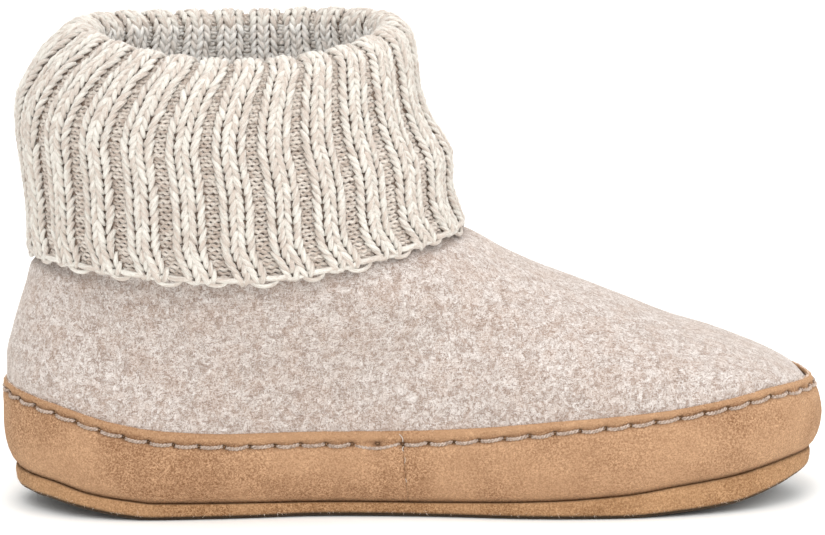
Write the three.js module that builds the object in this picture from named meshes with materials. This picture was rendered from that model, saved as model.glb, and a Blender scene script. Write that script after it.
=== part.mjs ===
// House slipper for the left foot: felt ankle upper, turned-down rib-knit cuff, suede rand, outsole, insole.
// Millimetres. X runs from the heel to the toe, Y from the inner side to the outer side, Z up from the floor.

import * as THREE from "three";

// Length and widths over the rand
const shoeLength = 265;
const ballWidth = 96;
const heelWidth = 74;
const toeTipShift = 9;

// Heights above the floor
const instepHeight = 86.8;
const collarHeight = 95;
const cuffHeight = 157;

// Outsole
const soleThickness = 5;
const heelThickness = 5;
const soleInset = 4;
const soleEdgeRoll = 2.6;
const soleEdgeSteps = 3;
const toeSpring = 9.5;
const archLift = 0.3;
const heelLift = 6;

// Rand
const randThickness = 1.5;
const randHeight = 28.9;
const randHeelRise = 12;
const randToeRise = 11.7;
const randTuck = 4.6;
const randLean = 1.2;
const randJoinAt = 0.475;
const randJoinGap = 0.3;

// Felt upper
const feltWall = 3.5;
const feltPuff = 0.9;
const lastingMargin = 9;
const collarWidth = 88;
const heelLean = 12.5;
const heelPlay = 1;
const vampSquareness = 2.3;

// Knit cuff
const knitWall = 3.5;
const cuffSpread = 8;
const hemHeight = 83.25;
const hemTilt = 6.5;
const hemDip = 5;
const crestDip = 4.6;
const crestLean = 1.1;
const ribCount = 24;
const ribDepth = 1.6;
const ribShift = -0.02;
const ribFlank = 0.05;
const frontFold = 3;
const foldNarrowness = 6;
const hemDipNarrowness = 4;

// Insole
const insoleThickness = 4;

// Gap between pieces that meet
const clearance = 0.3;

// Points round each ring, samples along curves that are searched, and the steps that slopes are measured over
const ringPoints = 60;
const edgeSamples = 180;
const hemSamples = 720;
const halvings = 40;
const turnStep = 1 / 720;
const lengthStep = 0.002;

const full = 2 * Math.PI;

const mix = (a, b, t) => a + (b - a) * t;
const clamp01 = (t) => Math.min(1, Math.max(0, t));
const smooth = (t) => clamp01(t) ** 2 * (3 - 2 * clamp01(t));

// Smooth curve through one column of a table, flat where neighbouring rows are equal.
function along(table, column, at) {
  const last = table.length - 1;
  const x = Math.min(table[last].at, Math.max(table[0].at, at));
  let k = 0;
  while (k < last - 1 && x > table[k + 1].at) k += 1;
  const step = (i) => table[i + 1].at - table[i].at;
  const rate = (i) => (table[i + 1][column] - table[i][column]) / step(i);
  const slope = (i) => {
    if (i === 0) return rate(0);
    if (i === last) return rate(last - 1);
    const product = rate(i - 1) * rate(i);
    return product <= 0 ? 0 : (2 * product) / (rate(i - 1) + rate(i));
  };
  const h = step(k);
  const t = (x - table[k].at) / h;
  const risen = mix(table[k][column], table[k + 1][column], t * t * (3 - 2 * t));
  return risen + h * t * (1 - t) * ((1 - t) * slope(k) - t * slope(k + 1));
}

// Closed smooth curve through evenly spaced values, for a turn from 0 to 1.
function around(values, turn) {
  const n = values.length;
  const place = (((turn % 1) + 1) % 1) * n;
  const k = Math.floor(place);
  const t = place - k;
  const [a, b, c, d] = [-1, 0, 1, 2].map((i) => values[(k + i + n) % n]);
  return b + 0.5 * t * (c - a + t * (2 * a - 5 * b + 4 * c - d + t * (3 * (b - c) + d - a)));
}

// Half widths seen from above, every 15 degrees from the toe tip to the heel,
// as shares of the half width of the heel behind and of the ball in front.
const plan = [
  { inner: 0, outer: 0 },
  { inner: 0.49, outer: 0.16 },
  { inner: 0.77, outer: 0.49 },
  { inner: 0.933, outer: 0.75 },
  { inner: 1.0, outer: 0.927 },
  { inner: 0.973, outer: 1.02 },
  { inner: 0.91, outer: 1.018 },
  { inner: 0.924, outer: 1.0 },
  { inner: 0.995, outer: 1.005 },
  { inner: 0.968, outer: 0.968 },
  { inner: 0.784, outer: 0.784 },
  { inner: 0.432, outer: 0.432 },
  { inner: 0, outer: 0 },
];
const heelZone = 0.25;
const ballZone = 0.7;

const atOfTurn = (turn) => 0.5 + 0.5 * Math.cos(full * turn);
const halfWidthAt = (at) => mix(heelWidth, ballWidth, smooth((at - heelZone) / (ballZone - heelZone))) / 2;

function planKnots() {
  const half = plan.length - 1;
  const sideways = (k, share) => share * halfWidthAt(atOfTurn(k / (2 * half)));
  const outer = plan.map((row, k) => sideways(k, row.outer));
  const inner = plan.map((row, k) => -sideways(k, row.inner));
  outer[0] = -toeTipShift;
  return [...outer, ...inner.slice(1, half).reverse()];
}
const knots = planKnots();

const outlinePoint = (turn) => new THREE.Vector2((atOfTurn(turn) - 0.5) * shoeLength, around(knots, turn));

// A point of the outline moved inwards, square to it.
function insetPoint(turn, inset) {
  const run = outlinePoint(turn + turnStep).sub(outlinePoint(turn - turnStep)).normalize();
  return outlinePoint(turn).add(new THREE.Vector2(-run.y, run.x).multiplyScalar(inset));
}

// The sole along its length: toe spring, arch and heel lift of its underside as shares of their sizes,
// and its side wall as a share of its thickness.
const soleRun = [
  { at: 0, toe: 0, arch: 0, heel: 1, wall: 1.25 },
  { at: 0.045, toe: 0, arch: 0, heel: 0.8, wall: 1.28 },
  { at: 0.095, toe: 0, arch: 0, heel: 0.42, wall: 1.12 },
  { at: 0.14, toe: 0, arch: 0, heel: 0.12, wall: 1.15 },
  { at: 0.175, toe: 0, arch: 0, heel: 0, wall: 1.1 },
  { at: 0.31, toe: 0, arch: 0, heel: 0, wall: 1 },
  { at: 0.37, toe: 0, arch: 1, heel: 0, wall: 0.92 },
  { at: 0.45, toe: 0, arch: 0.7, heel: 0, wall: 0.92 },
  { at: 0.52, toe: 0, arch: 0, heel: 0, wall: 0.97 },
  { at: 0.66, toe: 0, arch: 0, heel: 0, wall: 1.2 },
  { at: 0.74, toe: 0, arch: 0, heel: 0, wall: 1.5 },
  { at: 0.815, toe: 0.12, arch: 0, heel: 0, wall: 1.8 },
  { at: 0.88, toe: 0.28, arch: 0, heel: 0, wall: 1.88 },
  { at: 0.93, toe: 0.58, arch: 0, heel: 0, wall: 1.75 },
  { at: 0.965, toe: 0.82, arch: 0, heel: 0, wall: 1.5 },
  { at: 1, toe: 1, arch: 0, heel: 0, wall: 1.15 },
];

const thicknessAt = (at) => mix(heelThickness, soleThickness, smooth((at - heelZone) / (ballZone - heelZone)));
function soleBottom(at) {
  const [toe, arch, heel] = ["toe", "arch", "heel"].map((column) => along(soleRun, column, at));
  return toeSpring * toe + archLift * arch + heelLift * heel;
}
const soleTop = (at) => soleBottom(at) + thicknessAt(at) * along(soleRun, "wall", at);
const seatHeight = (at) => soleTop(at) + clearance;

// The rand's top line: its rise at the heel and toe as shares of theirs, and how far it leans in.
const topLine = [
  { at: 0, heel: 1, toe: 0, lean: 0.25 },
  { at: 0.06, heel: 0.72, toe: 0, lean: 0.5 },
  { at: 0.125, heel: 0.33, toe: 0, lean: 0.8 },
  { at: 0.19, heel: 0.1, toe: 0, lean: 1 },
  { at: 0.27, heel: 0, toe: 0, lean: 1 },
  { at: 0.42, heel: 0, toe: 0, lean: 1 },
  { at: 0.48, heel: 0, toe: 0.03, lean: 1 },
  { at: 0.545, heel: 0, toe: 0.11, lean: 1 },
  { at: 0.61, heel: 0, toe: 0.245, lean: 1 },
  { at: 0.67, heel: 0, toe: 0.376, lean: 1 },
  { at: 0.735, heel: 0, toe: 0.487, lean: 1 },
  { at: 0.8, heel: 0, toe: 0.615, lean: 1.1 },
  { at: 0.87, heel: 0, toe: 0.81, lean: 1.5 },
  { at: 0.94, heel: 0, toe: 1, lean: 2.3 },
  { at: 1, heel: 0, toe: 0.915, lean: 3.2 },
];
const randTop = (at) =>
  randHeight + randHeelRise * along(topLine, "heel", at) + randToeRise * along(topLine, "toe", at);

// The rand's side from the groove to its top edge: tucked in below, widest at mid height, leaning in above.
const randSide = [
  { at: 0, tuck: 1, lean: 0 },
  { at: 0.1, tuck: 0.55, lean: 0 },
  { at: 0.28, tuck: 0.15, lean: 0 },
  { at: 0.5, tuck: 0, lean: 0 },
  { at: 0.76, tuck: 0, lean: 0.35 },
  { at: 1, tuck: 0, lean: 1 },
];
function randInset(rise, at) {
  const lean = randLean * along(randSide, "lean", rise) * along(topLine, "lean", at);
  return randTuck * along(randSide, "tuck", rise) + lean;
}

// A point on the rand's side, moved in by a depth and raised from a lowest height.
function randPoint(turn, rise, depth, lowest) {
  const at = atOfTurn(turn);
  const p = insetPoint(turn, randInset(rise, at) + depth);
  return new THREE.Vector3(p.x, p.y, mix(lowest(at), randTop(at), rise));
}

// A ring at one inset from the outline and a height that follows the length.
const flatRing = (inset, height) => (turn) => {
  const p = insetPoint(turn, inset);
  return new THREE.Vector3(p.x, p.y, height(atOfTurn(turn)));
};

// Heel seam line of the felt, in from the heel, as a share of its lean up to the collar.
const heelLine = [
  { at: 0.38, inset: 0.02 },
  { at: 0.51, inset: 0.02 },
  { at: 0.63, inset: 0.23 },
  { at: 0.76, inset: 0.53 },
  { at: 0.83, inset: 0.68 },
  { at: 0.87, inset: 0.93 },
  { at: 0.93, inset: 0.98 },
  { at: 1, inset: 1 },
];

// The ridge of the vamp from the heel to the toe, as shares of the instep height and of the collar's
// height above it. Rows behind the collar only steer how round the shaft closes in front.
const ridge = [
  { at: 0, instep: 1, collar: 62 },
  { at: 0.3, instep: 1, collar: 28 },
  { at: 0.415, instep: 1, collar: 9.4 },
  { at: 0.49, instep: 1, collar: 2.75 },
  { at: 0.532, instep: 1, collar: 1 },
  { at: 0.536, instep: 1, collar: 0.78 },
  { at: 0.542, instep: 1, collar: 0.45 },
  { at: 0.549, instep: 1, collar: 0.24 },
  { at: 0.557, instep: 1, collar: 0.09 },
  { at: 0.5665, instep: 0.995, collar: 0 },
  { at: 0.618, instep: 0.912, collar: 0 },
  { at: 0.683, instep: 0.825, collar: 0 },
  { at: 0.751, instep: 0.745, collar: 0 },
  { at: 0.816, instep: 0.664, collar: 0 },
  { at: 0.883, instep: 0.597, collar: 0 },
  { at: 0.95, instep: 0.506, collar: 0 },
  { at: 0.982, instep: 0.44, collar: 0 },
  { at: 1, instep: 0.38, collar: 0 },
];
const ridgeHeight = (at) =>
  instepHeight * along(ridge, "instep", at) + (collarHeight - instepHeight) * along(ridge, "collar", at);

// The ridge at a depth inside the felt, lowered square to its own slope.
function ridgeBelow(at, depth) {
  const slope = (ridgeHeight(at + lengthStep) - ridgeHeight(at - lengthStep)) / (2 * lengthStep * shoeLength);
  return ridgeHeight(at) - depth * Math.hypot(1, slope);
}

// Rings of felt from just above the rand to the collar: how far each has climbed at the heel and in front.
const feltRings = [
  { back: 0.04, front: 0.04 },
  { back: 0.13, front: 0.12 },
  { back: 0.26, front: 0.23 },
  { back: 0.4, front: 0.35 },
  { back: 0.55, front: 0.48 },
  { back: 0.7, front: 0.6 },
  { back: 0.78, front: 0.72 },
  { back: 0.84, front: 0.85 },
  { back: 0.91, front: 0.925 },
  { back: 1, front: 1 },
];
const heelReach = 0.3;
const ankleClimb = 0;
const vampClimb = 0.35;
const shaftClimb = 0.76;
const tipZone = 0.57;

// Where a ring meets the ridge in front, by halving the stretch between collar and toe.
function ringFront(climb, depth) {
  let [low, high] = [0.5, 1];
  for (let k = 0; k < halvings; k += 1) {
    const at = (low + high) / 2;
    const above = ridgeBelow(at, depth) > mix(randTop(at), collarHeight, climb);
    [low, high] = above ? [at, high] : [low, at];
  }
  return low;
}

// Sideways edge of the felt at the rand's top line, at a place along the length.
function edgeTable(depth) {
  const table = { outer: [], inner: [] };
  for (let k = 0; k <= edgeSamples; k += 1) {
    for (const side of ["outer", "inner"]) {
      const turn = ((side === "outer" ? 1 : -1) * 0.5 * (edgeSamples - k)) / edgeSamples;
      const inset = randInset(1, atOfTurn(turn)) + randThickness + clearance - feltPuff + depth;
      const p = insetPoint(turn, inset);
      table[side].push({ at: p.x / shoeLength + 0.5, edge: p.y });
    }
  }
  return table;
}

function edgeAt(rows, at) {
  const last = rows.length - 1;
  const k = Math.min(last, Math.max(1, rows.findIndex((row) => row.at >= at)));
  if (at >= rows[last].at) return rows[last].edge;
  return mix(rows[k - 1].edge, rows[k].edge, clamp01((at - rows[k - 1].at) / (rows[k].at - rows[k - 1].at)));
}

// One ring of the felt shell above the rand, at a depth inside it.
function feltRing(ring, depth) {
  const edges = edgeTable(depth);
  const front = ringFront(ring.front, depth);
  const backHeight = mix(randTop(0), collarHeight, ring.back);
  const back = (heelLean * along(heelLine, "inset", backHeight / collarHeight) + heelPlay + depth) / shoeLength;
  const restBack = edges.outer[0].at;
  return (turn) => {
    const at = mix(back, front, atOfTurn(turn));
    const ahead = (at - back) / (front - back);
    const climb = mix(ring.back, ring.front, ahead);
    const z = mix(randTop(at), collarHeight, climb);
    const toRidge = clamp01((z - randTop(at)) / (ridgeBelow(at, depth) - randTop(at)));
    const closing = Math.sqrt(1 - Math.min(1, toRidge ** vampSquareness));
    const shifted = at - (back - restBack) * (1 - smooth(at / heelReach));
    const centre = -toeTipShift * smooth((at - tipZone) / (1 - tipZone));
    const edge = edgeAt(Math.sin(full * turn) >= 0 ? edges.outer : edges.inner, shifted);
    const footEdge = centre + (edge - centre) * closing;
    const ankleEdge = (collarWidth / 2 - depth) * Math.sin(full * turn);
    const start = mix(ankleClimb, vampClimb, smooth((at - heelReach) / (tipZone - heelReach)));
    const y = mix(footEdge, ankleEdge, smooth((climb - start) / (shaftClimb - start)));
    return new THREE.Vector3((at - 0.5) * shoeLength, y, z);
  };
}

// Knit cuff, from its seam on the collar up the inside, over the crest and down outside to the hem.
// back, front and side are how far a row stands out from the seam, as shares of the cuff's spread. height is
// a share of the rise above the collar inside and of the drop outside.
const cuffInside = [
  { height: 0, back: 0, front: 0, side: 0, fold: 0 },
  { height: 0.22, back: -0.18, front: -0.39, side: -0.34, fold: 0 },
  { height: 0.5, back: -0.68, front: -1.11, side: -0.56, fold: 0 },
  { height: 0.75, back: -1.47, front: -1.84, side: -0.75, fold: 0 },
  { height: 0.92, back: -2.07, front: -2.18, side: -0.78, fold: 0 },
];
const cuffOutside = [
  { height: 0, back: -1.41, front: -1.75, side: -0.38, dip: 1, tilt: 0, fold: 0 },
  { height: 0.035, back: -0.88, front: -1.09, side: 0.06, dip: 1, tilt: 0, fold: 0 },
  { height: 0.14, back: 0.2, front: -0.86, side: 0.41, dip: 0.6, tilt: 0, fold: 0 },
  { height: 0.3, back: 1.03, front: -0.64, side: 0.66, dip: 0.3, tilt: 0, fold: -0.3 },
  { height: 0.45, back: 1.08, front: -0.34, side: 0.76, dip: 0.1, tilt: 0.1, fold: 0.1 },
  { height: 0.6, back: 0.9, front: 0.21, side: 0.79, dip: 0, tilt: 0.2, fold: 1 },
  { height: 0.8, back: 0.68, front: 0.5, side: 0.79, dip: 0, tilt: 0.6, fold: 0.2 },
  { height: 1, back: 0.63, front: 1.08, side: 0.76, dip: 0, tilt: 1, fold: 0 },
];

// The ribs on their way from the seam at 0 over the crest at 1 to the hem at 2. valley is the width between
// two of them, lean how far they have moved on round the cuff and twist how much further behind, as shares
// of their pitch.
const ribRun = [
  { at: 0, valley: 0.36, lean: 0, twist: 0.1 },
  { at: 0.5, valley: 0.3, lean: 0.1, twist: 0.3 },
  { at: 0.92, valley: 0.24, lean: 0.2, twist: 0.5 },
  { at: 1.04, valley: 0.24, lean: 0.2, twist: 0.5 },
  { at: 1.14, valley: 0.27, lean: 0.22, twist: 0.4 },
  { at: 1.3, valley: 0.3, lean: 0.26, twist: 0.2 },
  { at: 1.45, valley: 0.32, lean: 0.26, twist: 0 },
  { at: 1.6, valley: 0.33, lean: 0.2, twist: 0 },
  { at: 1.8, valley: 0.34, lean: 0.1, twist: 0 },
  { at: 2, valley: 0.35, lean: 0, twist: 0 },
];

const crestHeight = cuffHeight - knitWall / 2;
const cuffDrop = crestHeight - hemHeight;
const seamHeight = collarHeight + clearance;
const seamBack = heelLean + heelPlay + feltWall / 2;
const seamFront = (shoeLength * (ringFront(1, 0) + ringFront(1, feltWall))) / 2;
const seamHalf = (collarWidth - feltWall) / 2;

// Middle surface of the knit, one ring for each row of the two tables.
function knitRing(row, height) {
  return (turn) => {
    const side = Math.sin(full * turn);
    const back = seamBack - row.back * cuffSpread;
    const front = seamFront + row.front * cuffSpread;
    const fold = row.fold * frontFold * Math.max(0, Math.cos(full * turn)) ** foldNarrowness;
    const x = mix(back, front, atOfTurn(turn)) + fold - shoeLength / 2;
    return new THREE.Vector3(x, side * (seamHalf + row.side * cuffSpread), height(row, turn, side));
  };
}

// How much lower the crest lies at the sides than behind and in front.
const crestFall = (side) => crestDip * side ** 2 - crestLean * side;

function knitRings() {
  const climb = (row, turn, side) => mix(seamHeight, crestHeight - crestFall(side), row.height);
  const descent = (row, turn, side) => {
    const drop = row.height * (cuffDrop + hemDip * side ** hemDipNarrowness);
    return crestHeight - drop - row.dip * crestFall(side) + row.tilt * hemTilt * atOfTurn(turn);
  };
  const inside = cuffInside.map((row) => ({ place: row.height, at: knitRing(row, climb) }));
  const outside = cuffOutside.map((row) => ({ place: 1 + row.height, at: knitRing(row, descent) }));
  return [...inside, ...outside];
}

// Turns at which ribs begin and end, spaced evenly by length along the hem.
function ribTurns(hem) {
  const run = [0];
  for (let k = 1; k <= hemSamples; k += 1) {
    run.push(run[k - 1] + hem(k / hemSamples).distanceTo(hem((k - 1) / hemSamples)));
  }
  return (share) => {
    const wanted = run[hemSamples] * (share - Math.floor(share));
    const k = Math.max(1, run.findIndex((length) => length >= wanted));
    return Math.floor(share) + (k - 1 + (wanted - run[k - 1]) / (run[k] - run[k - 1])) / hemSamples;
  };
}

// The body's faces: quads between neighbouring rings, joined last to first where it closes on itself.
function stitchRings(rings, closeLast) {
  const count = rings[0].length;
  const faces = [];
  const bands = closeLast ? rings.length : rings.length - 1;
  for (let r = 0; r < bands; r += 1) {
    const next = (r + 1) % rings.length;
    for (let k = 0; k < count; k += 1) {
      const [a, b] = [r * count + k, r * count + ((k + 1) % count)];
      const [c, d] = [next * count + ((k + 1) % count), next * count + k];
      faces.push(a, b, c, a, c, d);
    }
  }
  return faces;
}

// A lid across a ring, in strips from one side of the foot to the other.
function lid(start, count, upwards) {
  const faces = [];
  const add = (a, b, c) => faces.push(...(upwards ? [a, b, c] : [c, b, a]).map((k) => start + k));
  for (let k = 0; k < count / 2; k += 1) {
    const [a, b, c, d] = [k, k + 1, count - k - 1, (count - k) % count];
    if (k > 0) add(a, b, d);
    if (k < count / 2 - 1) add(b, c, d);
  }
  return faces;
}

function meshOf(name, rings, faces, look) {
  const geometry = new THREE.BufferGeometry();
  const places = rings.flat().flatMap((p) => p.toArray());
  geometry.setAttribute("position", new THREE.Float32BufferAttribute(places, 3));
  geometry.setIndex(faces);
  geometry.computeVertexNormals();
  const mesh = new THREE.Mesh(geometry, new THREE.MeshStandardMaterial(look));
  mesh.name = name;
  return mesh;
}

const turnsEvenly = (count) => Array.from({ length: count }, (_, k) => k / count);
const ringOf = (point) => turnsEvenly(ringPoints).map(point);

function makeOutsole() {
  const rings = [];
  for (let k = 0; k <= soleEdgeSteps; k += 1) {
    const angle = (full / 4) * (k / soleEdgeSteps);
    const inset = soleInset + soleEdgeRoll * (1 - Math.sin(angle));
    rings.push(ringOf(flatRing(inset, (at) => soleBottom(at) + soleEdgeRoll * (1 - Math.cos(angle)))));
  }
  rings.push(ringOf(flatRing(soleInset, soleTop)));
  const faces = stitchRings(rings, false);
  faces.push(...lid(0, ringPoints, false), ...lid((rings.length - 1) * ringPoints, ringPoints, true));
  return meshOf("outsole", rings, faces, { color: 0xb08762, roughness: 0.95, metalness: 0 });
}

// The rand is one strip of suede, bent round the foot, with its ends butted on the inner side.
function makeRand() {
  const joinTurn = 1 - Math.acos(2 * randJoinAt - 1) / full;
  const joinHalf = randJoinGap / 2 / (Math.PI * shoeLength * Math.abs(Math.sin(full * joinTurn)));
  const [start, end] = [joinTurn + joinHalf, joinTurn + 1 - joinHalf];
  const onwards = turnsEvenly(ringPoints).map((turn) => (turn > start ? turn : turn + 1));
  const turns = [start, ...onwards.filter((turn) => turn < end).sort((a, b) => a - b), end];
  const outside = randSide.map((row) => (turn) => randPoint(turn, row.at, 0, seatHeight));
  const inside = randSide.map((row) => (turn) => randPoint(turn, row.at, randThickness, seatHeight)).reverse();
  const section = [...outside, ...inside];
  const rings = turns.map((turn) => section.map((point) => point(turn)));
  const faces = stitchRings(rings, false).reverse();
  const half = section.length / 2;
  const lastStart = (turns.length - 1) * section.length;
  for (let k = 0; k < half - 1; k += 1) {
    const [a, b, c, d] = [k, k + 1, section.length - k - 2, section.length - k - 1];
    faces.push(a, b, c, a, c, d);
    faces.push(...[a, c, b, a, d, c].map((index) => lastStart + index));
  }
  return meshOf("rand", rings, faces, { color: 0xbd9370, roughness: 0.95, metalness: 0 });
}

// The felt shell: a lasting margin under the foot, the wall behind the rand and the vamp and ankle above.
function makeUpper() {
  const meet = randThickness + clearance;
  const underFoot = randTuck + meet + lastingMargin;
  const wallRise = randSide.map((row) => row.at);
  const innerSeat = (at) => seatHeight(at) + feltWall;
  const outside = [
    flatRing(underFoot, seatHeight),
    ...wallRise.map((rise) => (turn) => randPoint(turn, rise, meet, seatHeight)),
    ...feltRings.map((ring) => feltRing(ring, 0)),
  ];
  const inside = [
    flatRing(underFoot, innerSeat),
    ...wallRise.map((rise) => (turn) => randPoint(turn, rise, meet + feltWall, innerSeat)),
    ...feltRings.map((ring) => feltRing(ring, feltWall)),
  ];
  const rings = [...outside, ...inside.reverse()].map(ringOf);
  return meshOf("upper", rings, stitchRings(rings, true), { color: 0xd2c5bb, roughness: 1, metalness: 0 });
}

// The cuff is one knitted tube turned down over itself, with its ribs raised on the face that shows.
function makeCuff() {
  const middle = knitRings();
  const turnOf = ribTurns(middle[middle.length - 1].at);
  const corners = (valley) => [
    { share: ribFlank, low: 1 },
    { share: valley - ribFlank, low: 1 },
    { share: valley + ribFlank, low: 0 },
    { share: 1 - ribFlank, low: 0 },
  ];
  const grid = middle.map(({ place, at }) => {
    const [valley, lean, twist] = ["valley", "lean", "twist"].map((column) => along(ribRun, column, place));
    return Array.from({ length: ribCount }, (_, rib) =>
      corners(valley).map(({ share, low }) => {
        const upright = (rib + share + ribShift) / ribCount;
        const turn = turnOf(upright + (lean + twist * (1 - atOfTurn(upright))) / ribCount);
        return { low, turn, point: at(turn) };
      }),
    ).flat();
  });
  const last = middle.length - 1;
  const normalAt = (row, k) => {
    const { turn } = grid[row][k];
    const round = middle[row].at(turn + turnStep).sub(middle[row].at(turn - turnStep));
    const over = middle[Math.min(last, row + 1)].at(turn).sub(middle[Math.max(0, row - 1)].at(turn));
    const normal = round.cross(over).normalize();
    if (row === 0 || row === last) normal.setZ(0).normalize();
    return normal;
  };
  const face = (depth, isRibbed) =>
    grid.map((ring, row) =>
      ring.map(({ low, point }, k) => {
        const offset = depth - isRibbed * low * ribDepth;
        return point.clone().addScaledVector(normalAt(row, k), -offset);
      }),
    );
  const rings = [...face(knitWall / 2, true), ...face(-knitWall / 2, false).reverse()];
  const faces = stitchRings(rings, true).reverse();
  return meshOf("cuff", rings, faces, { color: 0xd4cabf, roughness: 1, metalness: 0 });
}

// The insole fills the ring of the lasting margin and lies over it up to the felt wall.
function makeInsole() {
  const underFoot = randTuck + randThickness + clearance + lastingMargin + clearance;
  const onMargin = (at) => seatHeight(at) + feltWall + clearance;
  const lowEdge = randTuck + randThickness + feltWall + 3 * clearance;
  const highEdge = lowEdge - randTuck / 2;
  const rings = [
    flatRing(underFoot, seatHeight),
    flatRing(underFoot, onMargin),
    flatRing(lowEdge, onMargin),
    flatRing(highEdge, (at) => onMargin(at) + insoleThickness),
  ].map(ringOf);
  const faces = stitchRings(rings, false);
  faces.push(...lid(0, ringPoints, false), ...lid((rings.length - 1) * ringPoints, ringPoints, true));
  return meshOf("insole", rings, faces, { color: 0xcfc4b4, roughness: 1, metalness: 0 });
}

const slipper = new THREE.Group();
slipper.add(makeOutsole(), makeRand(), makeUpper(), makeInsole(), makeCuff());

export default slipper;
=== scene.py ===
import math
import bpy
import numpy as np
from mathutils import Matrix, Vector


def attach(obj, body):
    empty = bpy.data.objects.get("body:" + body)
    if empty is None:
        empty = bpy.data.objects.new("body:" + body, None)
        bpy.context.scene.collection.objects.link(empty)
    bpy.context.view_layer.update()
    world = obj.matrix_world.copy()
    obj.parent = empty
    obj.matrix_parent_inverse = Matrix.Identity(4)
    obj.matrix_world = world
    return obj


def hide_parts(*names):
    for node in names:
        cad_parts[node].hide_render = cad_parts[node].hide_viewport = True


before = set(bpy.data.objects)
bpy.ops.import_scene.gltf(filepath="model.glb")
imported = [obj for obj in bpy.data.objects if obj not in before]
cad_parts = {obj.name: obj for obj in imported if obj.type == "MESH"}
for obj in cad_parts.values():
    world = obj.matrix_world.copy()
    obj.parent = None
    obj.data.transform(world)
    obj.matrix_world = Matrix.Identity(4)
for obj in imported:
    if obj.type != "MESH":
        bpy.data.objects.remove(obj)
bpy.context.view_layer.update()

# Sizes of the slipper in millimetres, as in the part
shoe_length = 265.0
ball_width = 96.0
heel_width = 74.0
toe_tip_shift = 9.0
instep_height = 86.8
collar_height = 95.0
cuff_height = 157.0
sole_thickness = 5.0
sole_inset = 4.0
sole_edge_roll = 2.6
toe_spring = 9.5
arch_lift = 0.3
heel_lift = 6.0
rand_thickness = 1.5
rand_height = 28.9
rand_heel_rise = 12.0
rand_toe_rise = 11.7
rand_tuck = 4.6
rand_lean = 1.2
rand_join_at = 0.475
rand_join_gap = 0.05
felt_wall = 3.5
felt_puff = 0.9
lasting_margin = 9.0
collar_width = 88.0
heel_lean = 12.5
heel_play = 1.0
vamp_squareness = 2.3
knit_wall = 3.5
cuff_spread = 8.0
hem_height = 83.25
hem_tilt = 6.5
hem_dip = 5.0
hem_dip_narrowness = 4
crest_dip = 4.6
crest_lean = 1.1
rib_count = 24
rib_shift = -0.02
front_fold = 3.0
fold_narrowness = 6
insole_thickness = 4.0
clearance = 0.3

# Sizes of what the part leaves to the surfaces
stitch_pitch = 8.1
thread_radius = 0.33
thread_twist = 2.3
hole_radius = 0.75
thread_dip = 1.9
thread_out = 0.095
stitch_steps = 22
stitch_end = 0.06
stitch_tilt = 0.5
stitch_sag = (0.1, 0.5)
long_stitch_sag = 1.1
wale_count = 2
course_count = 54
yarn_radius = 0.95
purl_radius = 0.72
yarn_twist = 20.0
yarn_spool = 900
hem_skew = 0.22
hem_skew_courses = 4
hair_width = 0.07
insole_rounding = 0.8
insole_give = 0.1
crest_rounding = 0.8
seam_slant = 2.0

# How finely the surfaces are divided, and the steps that slopes are measured over
sole_columns = 480
rand_columns = 1500
felt_columns = 400
felt_rows = 76
lining_rows = 20
edge_samples = 361
seam_samples = 2881
halvings = 40
turn_step = 1 / 720
length_step = 0.002

FULL = 2 * math.pi
rng = np.random.default_rng(7)


# Curves through short tables
def table(columns, rows):
    return dict(zip(columns.split(), np.array(rows, float).T))


def mix(a, b, t):
    return a + (b - a) * t


def smooth(t):
    t = np.clip(t, 0, 1)
    return t * t * (3 - 2 * t)


def unit(v):
    return v / np.linalg.norm(v, axis=-1, keepdims=True)


def along(rows, column, at):
    x, y = rows["at"], rows[column]
    at = np.clip(at, x[0], x[-1])
    k = np.clip(np.searchsorted(x, at) - 1, 0, len(x) - 2)
    h = np.diff(x)
    rate = np.diff(y) / h
    product = rate[:-1] * rate[1:]
    total = np.where(product > 0, rate[:-1] + rate[1:], 1)
    slope = np.concatenate([rate[:1], np.where(product > 0, 2 * product / total, 0), rate[-1:]])
    t = (at - x[k]) / h[k]
    risen = mix(y[k], y[k + 1], t * t * (3 - 2 * t))
    return risen + h[k] * t * (1 - t) * ((1 - t) * slope[k] - t * slope[k + 1])


def around(values, turn):
    n = len(values)
    place = (turn % 1) * n
    k = np.floor(place).astype(int)
    t = place - k
    a, b, c, d = (values[(k + i) % n] for i in (-1, 0, 1, 2))
    return b + 0.5 * t * (c - a + t * (2 * a - 5 * b + 4 * c - d + t * (3 * (b - c) + d - a)))


# Outline of the foot seen from above
plan = table("inner outer", [
    (0, 0), (0.49, 0.16), (0.77, 0.49), (0.933, 0.75), (1.0, 0.927), (0.973, 1.02), (0.91, 1.018),
    (0.924, 1.0), (0.995, 1.005), (0.968, 0.968), (0.784, 0.784), (0.432, 0.432), (0, 0)])
heel_zone, ball_zone = 0.25, 0.7


def at_of_turn(turn):
    return 0.5 + 0.5 * np.cos(FULL * turn)


def plan_knots():
    half = len(plan["inner"]) - 1
    at = at_of_turn(np.arange(half + 1) / (2 * half))
    half_width = mix(heel_width, ball_width, smooth((at - heel_zone) / (ball_zone - heel_zone))) / 2
    outer, inner = plan["outer"] * half_width, -plan["inner"] * half_width
    outer[0] = -toe_tip_shift
    return np.concatenate([outer, inner[1:half][::-1]])


knots = plan_knots()


def outline(turn):
    return np.stack([(at_of_turn(turn) - 0.5) * shoe_length, around(knots, turn)], axis=-1)


def inset_point(turn, inset):
    """A point of the outline moved inwards, square to it."""
    run = unit(outline(turn + turn_step) - outline(turn - turn_step))
    inward = np.stack([-run[..., 1], run[..., 0]], axis=-1)
    return outline(turn) + inward * np.asarray(inset)[..., None]


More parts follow.
